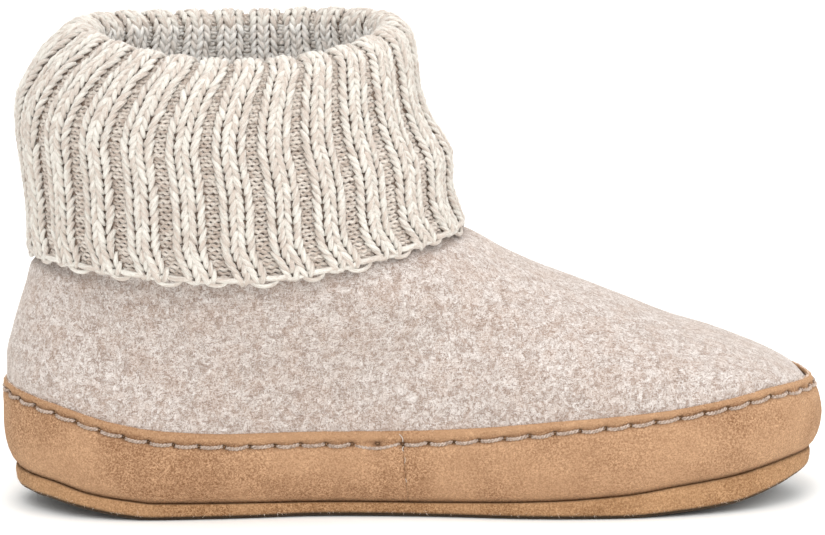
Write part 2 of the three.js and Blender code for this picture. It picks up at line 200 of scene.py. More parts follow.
# Sole and rand along the length
sole_run = table("at toe arch heel wall", [
    (0, 0, 0, 1, 1.25), (0.045, 0, 0, 0.8, 1.28), (0.095, 0, 0, 0.42, 1.12), (0.14, 0, 0, 0.12, 1.15),
    (0.175, 0, 0, 0, 1.1), (0.31, 0, 0, 0, 1), (0.37, 0, 1, 0, 0.92), (0.45, 0, 0.7, 0, 0.92),
    (0.52, 0, 0, 0, 0.97), (0.66, 0, 0, 0, 1.2), (0.74, 0, 0, 0, 1.5), (0.815, 0.12, 0, 0, 1.8),
    (0.88, 0.28, 0, 0, 1.88), (0.93, 0.58, 0, 0, 1.75), (0.965, 0.82, 0, 0, 1.5), (1, 1, 0, 0, 1.15)])
top_line = table("at heel toe lean", [
    (0, 1, 0, 0.25), (0.06, 0.72, 0, 0.5), (0.125, 0.33, 0, 0.8), (0.19, 0.1, 0, 1), (0.27, 0, 0, 1),
    (0.42, 0, 0, 1), (0.48, 0, 0.03, 1), (0.545, 0, 0.11, 1), (0.61, 0, 0.245, 1),
    (0.67, 0, 0.376, 1), (0.735, 0, 0.487, 1), (0.8, 0, 0.615, 1.1), (0.87, 0, 0.81, 1.5),
    (0.94, 0, 1, 2.3), (1, 0, 0.915, 3.2)])
rand_side = table("at tuck lean", [
    (0, 1, 0), (0.1, 0.55, 0), (0.28, 0.15, 0), (0.5, 0, 0), (0.76, 0, 0.35), (1, 0, 1)])
stitch_line = table("at drop", [
    (0, 3.0), (0.07, 3.2), (0.2, 4.2), (0.5, 4.2), (0.66, 3.7), (0.8, 3.0), (1, 2.8)])


def sole_bottom(at):
    toe, arch, heel = (along(sole_run, column, at) for column in ("toe", "arch", "heel"))
    return toe_spring * toe + arch_lift * arch + heel_lift * heel


def sole_top(at):
    return sole_bottom(at) + sole_thickness * along(sole_run, "wall", at)


def seat_height(at):
    return sole_top(at) + clearance


def rand_top(at):
    rise = rand_heel_rise * along(top_line, "heel", at) + rand_toe_rise * along(top_line, "toe", at)
    return rand_height + rise


def rand_inset(rise, at):
    lean = rand_lean * along(rand_side, "lean", rise) * along(top_line, "lean", at)
    return rand_tuck * along(rand_side, "tuck", rise) + lean


def rand_point(turn, rise, depth, lowest=seat_height):
    """A point of the rand's side at a share of its height, moved in by a depth."""
    at = at_of_turn(turn)
    p = inset_point(turn, rand_inset(rise, at) + depth)
    z = mix(lowest(at), rand_top(at), rise)
    return np.concatenate([p, z[..., None]], axis=-1)


def flat_ring(turn, inset, height):
    p = inset_point(turn, inset)
    z = height(at_of_turn(turn)) + np.zeros(p.shape[:-1])
    return np.concatenate([p, z[..., None]], axis=-1)


# Felt upper
heel_line = table("at inset", [
    (0.38, 0.02), (0.51, 0.02), (0.63, 0.23), (0.76, 0.53), (0.83, 0.68), (0.87, 0.93), (0.93, 0.98), (1, 1)])
ridge = table("at instep collar", [
    (0, 1, 62), (0.3, 1, 28), (0.415, 1, 9.4), (0.49, 1, 2.75), (0.532, 1, 1), (0.536, 1, 0.78),
    (0.542, 1, 0.45), (0.549, 1, 0.24), (0.557, 1, 0.09), (0.5665, 0.995, 0), (0.618, 0.912, 0),
    (0.683, 0.825, 0), (0.751, 0.745, 0), (0.816, 0.664, 0), (0.883, 0.597, 0), (0.95, 0.506, 0),
    (0.982, 0.44, 0), (1, 0.38, 0)])
felt_rings = table("at back front", [
    (0, 0.01, 0.01), (0.4, 0.04, 0.04), (1, 0.13, 0.12), (2, 0.26, 0.23), (3, 0.4, 0.35), (4, 0.55, 0.48),
    (5, 0.7, 0.6), (6, 0.78, 0.72), (7, 0.84, 0.85), (8, 0.91, 0.925), (9, 1, 1)])
heel_reach, vamp_climb, shaft_climb, tip_zone = 0.3, 0.35, 0.76, 0.57


def ridge_below(at, depth):
    def height(a):
        above = (collar_height - instep_height) * along(ridge, "collar", a)
        return instep_height * along(ridge, "instep", a) + above
    slope = (height(at + length_step) - height(at - length_step)) / (2 * length_step * shoe_length)
    return height(at) - depth * np.hypot(1, slope)


def ring_front(climb, depth):
    low, high = np.full_like(climb, 0.5), np.ones_like(climb)
    for _ in range(halvings):
        at = (low + high) / 2
        above = ridge_below(at, depth) > mix(rand_top(at), collar_height, climb)
        low, high = np.where(above, at, low), np.where(above, high, at)
    return low


def felt_surface(rows, turn, depth):
    """Points of the felt above the rand: rows of the ring table against turns round the foot."""
    climb_back = along(felt_rings, "back", rows)[:, None]
    climb_front = along(felt_rings, "front", rows)
    front = ring_front(climb_front, depth)[:, None]
    climb_front = climb_front[:, None]
    turn = turn[None, :]
    rest = np.linspace(0.5, 0, edge_samples)
    edges = []
    for side in (1, -1):
        inset = rand_inset(1.0, at_of_turn(rest)) + rand_thickness + clearance - felt_puff + depth
        p = inset_point(side * rest, inset)
        edges.append((p[:, 0] / shoe_length + 0.5, p[:, 1]))
    back_height = mix(rand_top(0.0), collar_height, climb_back) / collar_height
    back = (heel_lean * along(heel_line, "inset", back_height) + heel_play + depth) / shoe_length
    at = mix(back, front, at_of_turn(turn))
    climb = mix(climb_back, climb_front, (at - back) / (front - back))
    z = mix(rand_top(at), collar_height, climb)
    to_ridge = np.clip((z - rand_top(at)) / (ridge_below(at, depth) - rand_top(at)), 0, 1)
    closing = np.sqrt(1 - to_ridge ** vamp_squareness)
    shifted = at - (back - edges[0][0][0]) * (1 - smooth(at / heel_reach))
    centre = -toe_tip_shift * smooth((at - tip_zone) / (1 - tip_zone))
    edge = np.where(np.sin(FULL * turn) >= 0, np.interp(shifted, *edges[0]), np.interp(shifted, *edges[1]))
    foot_edge = centre + (edge - centre) * closing
    ankle_edge = (collar_width / 2 - depth) * np.sin(FULL * turn)
    start = vamp_climb * smooth((at - heel_reach) / (tip_zone - heel_reach))
    y = mix(foot_edge, ankle_edge, smooth((climb - start) / (shaft_climb - start)))
    return np.stack([(at - 0.5) * shoe_length, y, z], axis=-1)


# Middle surface of the knit, from its seam up the inside, over the crest and down to the hem
knit_rows = table("height back front side dip tilt fold out", [
    (0, 0, 0, 0, 0, 0, 0, 0), (0.22, -0.18, -0.39, -0.34, 0, 0, 0, 0),
    (0.5, -0.68, -1.11, -0.56, 0, 0, 0, 0), (0.75, -1.47, -1.84, -0.75, 0, 0, 0, 0),
    (0.92, -2.07, -2.18, -0.78, 0, 0, 0, 0),
    (0, -1.41, -1.75, -0.38, 1, 0, 0, 1), (0.035, -0.88, -1.09, 0.06, 1, 0, 0, 1),
    (0.14, 0.2, -0.86, 0.41, 0.6, 0, 0, 1), (0.3, 1.03, -0.64, 0.66, 0.3, 0, -0.3, 1),
    (0.45, 1.08, -0.34, 0.76, 0.1, 0.1, 0.1, 1), (0.6, 0.9, 0.21, 0.79, 0, 0.2, 1, 1),
    (0.8, 0.68, 0.5, 0.79, 0, 0.6, 0.2, 1), (1, 0.63, 1.08, 0.76, 0, 1, 0, 1)])
rib_run = table("at valley lean twist", [
    (0, 0.36, 0, 0.1), (0.5, 0.3, 0.1, 0.3), (0.92, 0.24, 0.2, 0.5), (1.04, 0.24, 0.2, 0.5),
    (1.14, 0.27, 0.22, 0.4), (1.3, 0.3, 0.26, 0.2), (1.45, 0.32, 0.26, 0),
    (1.6, 0.33, 0.2, 0), (1.8, 0.34, 0.1, 0), (2, 0.35, 0, 0)])
CUFF_TURNS = 720
CUFF_STEPS = 324
rounding_reach = 14
rounding_width = 5.0


def knit_middle():
    turn = np.arange(CUFF_TURNS) / CUFF_TURNS
    r = {name: values[:, None] for name, values in knit_rows.items()}
    side = np.sin(FULL * turn)
    crest = cuff_height - knit_wall / 2 + crest_rounding
    crest_fall = crest_dip * side ** 2 - crest_lean * side
    seam_back = heel_lean + heel_play + felt_wall / 2
    seam_front = shoe_length * (ring_front(np.ones(1), 0) + ring_front(np.ones(1), felt_wall))[0] / 2
    seam_half = (collar_width - felt_wall) / 2
    back = seam_back - r["back"] * cuff_spread
    front = seam_front + r["front"] * cuff_spread
    fold = r["fold"] * front_fold * np.maximum(0, np.cos(FULL * turn)) ** fold_narrowness
    x = mix(back, front, at_of_turn(turn)) + fold - shoe_length / 2
    y = side * (seam_half + r["side"] * cuff_spread)
    drop = r["height"] * (crest - hem_height + hem_dip * side ** hem_dip_narrowness)
    descent = crest - drop - r["dip"] * crest_fall + r["tilt"] * hem_tilt * at_of_turn(turn)
    climb = mix(collar_height + clearance, crest - crest_fall, r["height"])
    z = np.where(r["out"] > 0, descent, climb)
    rough = np.stack([x, y, z], axis=-1)
    run = np.concatenate([[0], np.cumsum(np.linalg.norm(np.diff(rough, axis=0), axis=-1).mean(axis=1))])
    fine = np.linspace(0, run[-1], CUFF_STEPS + 1)
    k = np.clip(np.searchsorted(run, fine) - 1, 0, len(run) - 2)
    t = ((fine - run[k]) / (run[k + 1] - run[k]))[:, None, None]
    line = mix(rough[k], rough[k + 1], t)
    place = np.interp(fine, run, knit_rows["height"] + knit_rows["out"])
    # rounds the corners that the rows leave, most of all over the crest
    n = rounding_reach
    kernel = np.exp(-0.5 * (np.arange(-n, n + 1) / rounding_width) ** 2)
    kernel /= kernel.sum()
    padded = np.concatenate([2 * line[:1] - line[n:0:-1], line, 2 * line[-1:] - line[-2:-n - 2:-1]])
    line = sum(w * padded[i:i + CUFF_STEPS + 1] for i, w in enumerate(kernel))
    round_ = np.roll(line, -1, axis=1) - np.roll(line, 1, axis=1)
    over = np.gradient(line, axis=0)
    normal = unit(np.cross(over, round_))
    hem = np.linalg.norm(np.roll(line[-1], -1, axis=0) - line[-1], axis=-1)
    hem_run = np.concatenate([[0], np.cumsum(hem)]) / hem.sum()
    return line, normal, place, hem_run, run[-1]


cuff_line, cuff_normal, cuff_place, hem_run, knit_run = knit_middle()
course_pitch = knit_run / course_count
crest_course = int(round(np.interp(1, cuff_place, np.linspace(0, course_count, CUFF_STEPS + 1))))


def place_of(course):
    """How far a course has come: 0 at the seam, 1 at the crest and 2 at the hem."""
    return np.interp(np.asarray(course) / course_count, np.linspace(0, 1, CUFF_STEPS + 1), cuff_place)


def rib_turn(course, rib, share):
    """The ribs lean round the cuff as they climb, most of all behind, and skew where the hem is cast off."""
    place = place_of(course)
    upright = (rib + share + rib_shift) / rib_count
    lean = along(rib_run, "lean", place) + along(rib_run, "twist", place) * (1 - at_of_turn(upright))
    lean = lean + hem_skew * smooth((course - course_count) / hem_skew_courses + 1)
    turned = upright + lean / rib_count
    whole = np.floor(turned)
    return whole + np.interp(turned - whole, hem_run, np.arange(CUFF_TURNS + 1) / CUFF_TURNS)


def on_cuff(course, rib, share, lift):
    """Points on the knit: course from the seam, share of a rib's pitch, height over the middle surface."""
    course, rib, share, lift = np.broadcast_arrays(course, rib, share, lift)
    i = np.clip(course / course_count, 0, 1) * CUFF_STEPS
    j = (rib_turn(course, rib, share) % 1) * CUFF_TURNS
    i0 = np.clip(np.floor(i).astype(int), 0, CUFF_STEPS - 1)
    j0 = np.floor(j).astype(int) % CUFF_TURNS
    j1 = (j0 + 1) % CUFF_TURNS
    fi, fj = (i - i0)[..., None], (j - np.floor(j))[..., None]

    def sample(grid):
        low, high = mix(grid[i0, j0], grid[i0, j1], fj), mix(grid[i0 + 1, j0], grid[i0 + 1, j1], fj)
        return mix(low, high, fi)
    point, normal = sample(cuff_line), sample(cuff_normal)
    spare = (course - np.clip(course, 0, course_count))[..., None] * course_pitch
    down = unit(cuff_line[-1] - cuff_line[-2])
    return point + normal * lift[..., None] + spare * mix(down[j0], down[j1], fj), normal


def valley_at(course):
    return along(rib_run, "valley", place_of(course))


# Mesh making
def make(name, verts, faces, material, attributes=None):
    """One object in the scene from points in millimetres. It rides on the part's single body."""
    mesh = bpy.data.meshes.new(name)
    mesh.from_pydata(np.asarray(verts, float) * 0.001, [], faces)
    for key, values in (attributes or {}).items():
        values = np.asarray(values, np.float32)
        if values.ndim == 1:
            mesh.attributes.new(key, "FLOAT", "POINT").data.foreach_set("value", values)
        else:
            mesh.attributes.new(key, "FLOAT_VECTOR", "POINT").data.foreach_set("vector", values.ravel())
    mesh.shade_smooth()
    mesh.materials.append(material)
    obj = bpy.data.objects.new(name, mesh)
    bpy.context.scene.collection.objects.link(obj)
    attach(obj, "root")
    return obj


def grid_faces(rows, columns, close_rows=False):
    """Quads between neighbouring rings of points, each ring closed."""
    r = np.arange(rows if close_rows else rows - 1)
    r, c = (g.ravel() for g in np.meshgrid(r, np.arange(columns), indexing="ij"))
    r1, c1 = (r + 1) % rows, (c + 1) % columns
    return np.stack([r * columns + c, r * columns + c1, r1 * columns + c1, r1 * columns + c], axis=-1)


def joined(parts):
    """Several meshes as one: their points one after another, and their faces moved on to match."""
    faces, shift = [], 0
    for v, f in parts:
        faces += [[i + shift for i in face] for face in f]
        shift += len(v)
    return np.concatenate([v for v, _ in parts]), faces


def bar_faces(start, count):
    """A lid across one ring, in strips from one side of the foot to the other."""
    faces = []
    for k in range(count // 2):
        ring = [k, k + 1, count - k - 1, (count - k) % count]
        if k == 0 or k == count // 2 - 1:
            ring = ring[:3] if k == 0 else [ring[0], ring[1], ring[3]]
        faces.append([start + i for i in ring])
    return faces


def tubes(paths, normals, radius, sides, flat=1.0):
    """Closed tubes along many centre lines. Gives points, faces and each point's place round and along it."""
    n, k = paths.shape[:2]
    ahead = unit(np.gradient(paths, axis=1))
    across = unit(np.cross(ahead, normals))
    up = np.cross(across, ahead)
    angle = np.arange(sides) / sides * FULL
    ca, sa = np.cos(angle)[:, None], np.sin(angle)[:, None]
    radius = np.broadcast_to(radius, (n, k))[:, :, None, None]
    ring = across[:, :, None] * ca + up[:, :, None] * sa * flat
    verts = (paths[:, :, None] + ring * radius).reshape(-1, 3)
    starts = (np.arange(n) * k * sides)[:, None, None]
    faces = (grid_faces(k, sides)[None] + starts).reshape(-1, 4).tolist()
    first = np.arange(sides)[::-1]
    last = (k - 1) * sides + np.arange(sides)
    for s in range(n):
        faces.append((first + s * k * sides).tolist())
        faces.append((last + s * k * sides).tolist())
    steps = np.linalg.norm(np.diff(paths, axis=1), axis=-1)
    run = np.concatenate([np.zeros((n, 1)), np.cumsum(steps, axis=1)], axis=1)
    run = run + rng.uniform(0, yarn_spool, (n, 1))
    yarn = np.stack(np.broadcast_arrays(ca[:, 0], sa[:, 0], run[:, :, None]), axis=-1).reshape(-1, 3)
    return verts, faces, yarn


def hairs(roots, directions, lengths, width, bend):
    """Fine fibres: each a strip of two quads that narrows to its tip."""
    n = len(roots)
    side = unit(np.cross(directions, rng.normal(size=(n, 3))))
    curl = np.cross(directions, side) * rng.normal(0, bend, (n, 1))
    points = []
    for t, w in ((0, 1), (0.5, 0.8), (1, 0.25)):
        centre = roots + (directions * t + curl * t * t) * lengths[:, None]
        points += [centre - side * width * w / 2, centre + side * width * w / 2]
    verts = np.stack(points, axis=1).reshape(-1, 3)
    base = (np.arange(n) * 6)[:, None, None] + np.array([[0, 1, 3, 2], [2, 3, 5, 4]])[None]
    return verts, base.reshape(-1, 4).tolist()


def lumps(p, size, seed, count=6):
    """Soft unevenness between -1 and 1 over a surface, from a few crossed waves."""
    waves = np.random.default_rng(seed)
    total = 0
    for _ in range(count):
        direction = unit(waves.normal(size=3))
        across = p @ direction * FULL / (size * waves.uniform(0.7, 1.5))
        total = total + np.sin(across + waves.uniform(0, FULL))
    return total / count


# Materials
def srgb(*colour):
    """A screen colour from 0 to 255 as the linear light that a shader takes."""
    return tuple(((c / 255 + 0.055) / 1.055) ** 2.4 for c in colour) + (1.0,)


class Look:
    """A material's node tree, built with short calls."""

    def __init__(self, name, roughness, sheen, sheen_tint):
        self.material = bpy.data.materials.new(name)
        self.material.use_nodes = True
        self.nodes, self.links = self.material.node_tree.nodes, self.material.node_tree.links
        self.shader = self.nodes["Principled BSDF"]
        self.shader.inputs["Roughness"].default_value = roughness
        self.shader.inputs["Sheen Weight"].default_value = sheen
        self.shader.inputs["Sheen Roughness"].default_value = 0.5
        self.shader.inputs["Sheen Tint"].default_value = sheen_tint
        self.shader.inputs["Specular IOR Level"].default_value = 0.15
        self.place = self.nodes.new("ShaderNodeTexCoord").outputs["Object"]

    def put(self, socket, value):
        if isinstance(value, bpy.types.NodeSocket):
            self.links.new(value, socket)
        else:
            socket.default_value = value

    def stretch(self, scale, rotation=(0, 0, 0), at=None):
        node = self.nodes.new("ShaderNodeMapping")
        node.inputs["Scale"].default_value = scale
        node.inputs["Rotation"].default_value = rotation
        self.links.new(at or self.place, node.inputs["Vector"])
        return node.outputs["Vector"]

    def noise(self, size, detail=2.0, rough=0.5, twist=0.0, at=None):
        """Cloudy noise with spots about this many millimetres across."""
        node = self.nodes.new("ShaderNodeTexNoise")
        node.inputs["Scale"].default_value = 1000.0 / size
        node.inputs["Detail"].default_value = detail
        node.inputs["Roughness"].default_value = rough
        node.inputs["Distortion"].default_value = twist
        self.links.new(at or self.place, node.inputs["Vector"])
        return node.outputs["Fac"]

    def attribute(self, name, output="Fac"):
        node = self.nodes.new("ShaderNodeAttribute")
        node.attribute_name = name
        return node.outputs[output]

    def math(self, kind, a, b=0.0):
        node = self.nodes.new("ShaderNodeMath")
        node.operation = kind
        self.put(node.inputs[0], a)
        self.put(node.inputs[1], b)
        return node.outputs[0]

    def spread(self, value, low, high, to_low=0.0, to_high=1.0):
        node = self.nodes.new("ShaderNodeMapRange")
        node.interpolation_type = "SMOOTHSTEP"
        for socket, v in zip(node.inputs, (value, low, high, to_low, to_high)):
            self.put(socket, v)
        return node.outputs[0]

    def blend(self, factor, a, b):
        node = self.nodes.new("ShaderNodeMix")
        node.data_type = "RGBA"
        self.put(node.inputs["Factor"], factor)
        colours = [s for s in node.inputs if s.type == "RGBA"]
        self.put(colours[0], a)
        self.put(colours[1], b)
        return next(s for s in node.outputs if s.type == "RGBA")

    def colour(self, value):
        self.put(self.shader.inputs["Base Color"], value)

    def relief(self, height, depth):
        """Bump of so many millimetres, on top of any before it."""
        node = self.nodes.new("ShaderNodeBump")
        node.inputs["Distance"].default_value = depth * 0.001
        node.inputs["Strength"].default_value = 1.0
        self.links.new(height, node.inputs["Height"])
        before = self.shader.inputs["Normal"].links
        if before:
            self.links.new(before[0].from_socket, node.inputs["Normal"])
        self.links.new(node.outputs["Normal"], self.shader.inputs["Normal"])


def felt_look():
    """Boiled wool: short fibres of light and brown wool lying every way in a mottled grey-beige ground."""
    look = Look("felt", 1.0, 0.35, srgb(235, 228, 220))
    flat = look.noise(0.85, 3, 0.72, 1.8, look.stretch((0.5, 1.0, 1.15), (0.0, 0.3, 0.0)))
    steep = look.noise(0.85, 3, 0.72, 1.8, look.stretch((1.1, 1.0, 0.55), (0.0, -0.5, 0.0)))
    light = look.math("MAXIMUM", flat, steep)
    brown = look.math("MINIMUM", flat, steep)
    tufts = look.noise(2.6, 3, 0.65, 1.2)
    clouds = look.noise(8.0, 3, 0.6, 0.8)
    base = look.blend(look.spread(tufts, 0.36, 0.64), srgb(168, 152, 142), srgb(210, 201, 195))
    base = look.blend(look.spread(clouds, 0.42, 0.62, 0.0, 0.35), base, srgb(178, 154, 138))
    base = look.blend(look.spread(brown, 0.47, 0.37, 0.0, 0.8), base, srgb(128, 108, 96))
    base = look.blend(look.spread(light, 0.54, 0.7, 0.0, 0.7), base, srgb(232, 228, 226))
    look.colour(base)
    look.relief(look.noise(2.4, 3, 0.6, 0.6), 0.3)
    look.relief(light, 0.25)
    return look.material


def suede_look(name, light, dark, lip=None):
    """Suede with a fine nap and soft patches, paler on a cut lip, with painted shade in the stitch trough and
    holes and a painted shadow along the bottom of the sole.
    """
    look = Look(name, 0.95, 0.3, srgb(232, 196, 158))
    nap = look.noise(0.6, 3, 0.75, 0.6)
    grain = look.noise(1.7, 3, 0.7, 1.0, look.stretch((0.7, 1.0, 1.2), (0.0, 0.5, 0.0)))
    patches = look.noise(10.0, 3, 0.5, 1.0)
    wide = look.noise(28.0, 2, 0.5)
    base = look.blend(look.spread(nap, 0.36, 0.64), dark, light)
    base = look.blend(look.spread(grain, 0.42, 0.64, 0.0, 0.32), base, dark)
    base = look.blend(look.spread(patches, 0.36, 0.7, 0.0, 0.28), base, dark)
    base = look.blend(look.spread(wide, 0.38, 0.62, 0.0, 0.35), base, light)
    if lip:
        worn = look.spread(grain, 0.35, 0.6, 0.15, 0.6)
        base = look.blend(look.math("MULTIPLY", look.attribute("lip"), worn), base, lip)
        # painted shade in the stitch trough, under the thread
        base = look.blend(look.math("MULTIPLY", look.attribute("trough_shade"), 0.35), base, srgb(110, 78, 54))
        # painted shade in the stitch holes
        base = look.blend(look.attribute("hole"), base, srgb(40, 26, 20))
    else:
        # painted shadow: the lowest part of the sole's rolled edge is darkened as the shadow where it meets
        # the floor
        base = look.blend(look.attribute("under"), base, srgb(26, 18, 14))
    look.colour(base)
    look.relief(grain, 0.22)
    look.relief(nap, 0.3)
    return look.material


def yarn_look(name, cream, taupe, twist):
    """Wool yarn: a cream and a taupe ply wound round each other, with fibres along and over them."""
    look = Look(name, 1.0, 0.6, srgb(244, 241, 235))
    yarn = look.attribute("yarn", "Vector")
    split = look.nodes.new("ShaderNodeSeparateXYZ")
    look.links.new(yarn, split.inputs[0])
    phase = look.math("MULTIPLY", split.outputs[2], FULL / twist)
    cosine = look.math("MULTIPLY", split.outputs[0], look.math("COSINE", phase))
    sine = look.math("MULTIPLY", split.outputs[1], look.math("SINE", phase))
    ply = look.math("ADD", cosine, sine)
    strands = look.noise(0.3, 2, 0.6, 0.3, look.stretch((0.0008, 0.0008, 0.0001), (0, 0, 0), yarn))
    fuzz = look.noise(0.7, 4, 0.75, 1.0)
    shade = look.math("ADD", ply, look.math("MULTIPLY", look.math("SUBTRACT", strands, 0.5), 6.0))
    shade = look.math("ADD", shade, look.math("MULTIPLY", look.math("SUBTRACT", fuzz, 0.5), 7.0))
    base = look.blend(look.spread(shade, -1.5, 1.7), cream, taupe)
    base = look.blend(look.spread(fuzz, 0.45, 0.33, 0.0, 0.35), base, srgb(150, 130, 116))
    look.colour(base)
    look.relief(look.math("ABSOLUTE", ply), 0.15)
    look.relief(strands, 0.3)
    look.relief(fuzz, 0.35)
    return look.material


def plain_wool_look(name, light, dark):
    look = Look(name, 1.0, 0.3, srgb(220, 210, 200))
    fuzz = look.noise(0.8, 4, 0.7, 1.0)
    look.colour(look.blend(look.spread(fuzz, 0.3, 0.7), dark, light))
    look.relief(fuzz, 0.3)
    return look.material


def fibre_look(name, colour):
    look = Look(name, 1.0, 0.2, srgb(250, 248, 244))
    look.colour(look.blend(look.noise(3.0, 2, 0.5), colour, srgb(255, 255, 252)))
    return look.material


felt = felt_look()
suede = suede_look("suede_rand", srgb(203, 163, 127), srgb(128, 90, 62), srgb(176, 138, 104))
suede_under = suede_look("suede_sole", srgb(198, 157, 117), srgb(126, 88, 56))
knit_yarn = yarn_look("knit_yarn", srgb(235, 231, 222), srgb(203, 188, 176), yarn_twist)
# a lighter copy of the knit yarn for the inside of the cuff: painted light where the opening lets little
# light in
inside_yarn_painted_light = yarn_look("inside_yarn_painted_light", srgb(252, 250, 245), srgb(232, 222, 212), yarn_twist)
# a darker copy of the knit yarn for the purl valleys between the ribs: painted shade
purl_yarn_painted_shade = yarn_look("purl_yarn_painted_shade", srgb(234, 224, 213), srgb(188, 169, 155), yarn_twist / 2)
# the body under the stitches: partly the yarn's taupe, partly painted shade for the gaps between stitches
knit_back_taupe_and_shade = plain_wool_look("knit_back_taupe_and_shade", srgb(168, 150, 136), srgb(122, 102, 88))
thread = plain_wool_look("thread", srgb(212, 194, 180), srgb(138, 116, 100))
light_thread = plain_wool_look("light_thread", srgb(226, 220, 212), srgb(196, 182, 168))
insole_felt = plain_wool_look("insole_felt", srgb(198, 188, 176), srgb(168, 154, 140))
wool_fibre = fibre_look("wool_fibre", srgb(214, 206, 197))
suede_fibre = fibre_look("suede_fibre", srgb(200, 160, 122))


# Outsole: rings of its rolled edge and wall, how far the wall bulges, how uneven it is as a share of its
# distance from the middle, and the stretch of the edge that is painted dark as the shadow where it meets the
# floor
sole_roll_rows = 9
sole_wall_rows = (0.3, 0.55, 0.8, 1.0)
sole_bulge = 0.25
sole_wobble = 0.002
sole_shade_from = 1.2
sole_shade_over = 0.7


def outsole():
    turn = np.arange(sole_columns) / sole_columns
    rings, shades = [], []
    for angle in np.linspace(0, math.pi / 2, sole_roll_rows):
        inset = sole_inset + sole_edge_roll * (1 - math.sin(angle))
        lift = sole_edge_roll * (1 - math.cos(angle))
        # painted shadow: how strongly this ring of the roll is darkened as the shadow at the floor
        shades.append(1 - smooth((lift - sole_shade_from) / sole_shade_over))
        rings.append(flat_ring(turn, inset, lambda at, lift=lift: sole_bottom(at) + lift))
    for share in sole_wall_rows:
        bulge = sole_bulge * math.sin(math.pi * share)
        rings.append(flat_ring(turn, sole_inset - bulge, lambda at, s=share: mix(
            sole_bottom(at) + sole_edge_roll, sole_top(at), s)))
        shades.append(0)
    verts = np.array(rings)
    wobble = lumps(verts, 9.0, 3)
    verts[1:, :, :2] *= 1 + wobble[1:, :, None] * sole_wobble
    faces = grid_faces(len(rings), sole_columns).tolist()
    faces += [f[::-1] for f in bar_faces(0, sole_columns)]
    faces += bar_faces((len(rings) - 1) * sole_columns, sole_columns)
    under = np.repeat(np.array(shades), sole_columns)
    obj = make("outsole_suede", verts.reshape(-1, 3), faces, suede_under, {"under": under})
    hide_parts("outsole")


join_turn = 1 - math.acos(2 * rand_join_at - 1) / FULL


def stitch_rise(at):
    return 1 - along(stitch_line, "drop", at) / (rand_top(at) - seat_height(at))


def stitch_places():
    """Turns of the holes, evenly by length along the stitch line, from the join round to the join."""
    turn = join_turn + np.linspace(0, 1, seam_samples)
    line = rand_point(turn, stitch_rise(at_of_turn(turn)), 0.0)
    run = np.concatenate([[0], np.cumsum(np.linalg.norm(np.diff(line, axis=0), axis=-1))])
    count = int(round(run[-1] / stitch_pitch))
    return turn, run, count


stitch_turns, stitch_run, stitch_count = stitch_places()

# Relief of the rand across its stitch line, in millimetres: the trough, the lip above and the swell below.
# depth is how far it goes in, beat how much of that follows the stitches and uneven how much is chance.
rand_bands = table("height width depth beat uneven", [
    (0, 1.15, 0.75, 0.25, 0.15), (2.2, 1.3, -0.35, 0.12, -0.2), (-3.2, 2.4, -0.22, 0.16, 0)])
rand_waves = ((0.25, 26.0), (0.16, 7.0), (0.1, 2.5))
edge_zone = 0.05
edge_rounding = 0.55
join_trough = 0.12
join_width = 0.6
lip_from = 0.9
lip_over = 1.2


def rand_relief(turn, rise, at):
    """How far the suede is pulled in by the stitches, the painted shade of its trough, where its lip is, and
    where its holes are, which also get painted shade.
    """
    height = rand_top(at) - seat_height(at)
    above = (rise - stitch_rise(at)) * height
    place = np.interp((turn - join_turn) % 1, stitch_turns - join_turn, stitch_run)
    pitch = stitch_run[-1] / stitch_count
    beat = np.cos(FULL * place / pitch)
    flat = np.stack([place, above, 0 * place], axis=-1)
    chance = (lumps(flat * [1, 0.3, 1], 23.0, 5), lumps(flat, 6.0, 6), 0)
    sides = (np.ones_like(above), above > 0, above < 0)
    bands = [np.exp(-((above - h) / w) ** 2) for h, w in zip(rand_bands["height"], rand_bands["width"])]
    inward = 0
    for k, (band, side) in enumerate(zip(bands, sides)):
        depth, beating, uneven = (rand_bands[column][k] for column in ("depth", "beat", "uneven"))
        inward = inward + band * side * (depth + beating * beat + uneven * chance[k])
    inward += 0.22 * lumps(flat, 34.0, 9) * smooth(rise * 3) * smooth((1 - rise) * 5)
    to_join = np.minimum(place, stitch_run[-1] - place)
    inward += join_trough * np.exp(-(to_join / join_width) ** 2)
    to_hole = pitch / 2 - np.abs(place % pitch - pitch / 2)
    # the hole mask dents the suede and also paints the shade inside each hole
    hole = np.exp(-(to_hole / hole_radius) ** 2 - (above / hole_radius) ** 2)
    inward += hole_radius * hole
    # the second value is the painted shade of the stitch trough
    return inward, bands[0] * (0.6 + 0.4 * beat), np.clip((above - lip_from) / lip_over, 0, 1), hole


def slanted(turn, rise):
    """The turn of a point on the rand when its join leans by the slant of its seam."""
    return turn + seam_slant * (stitch_rise(rand_join_at) - rise) / (math.pi * shoe_length)


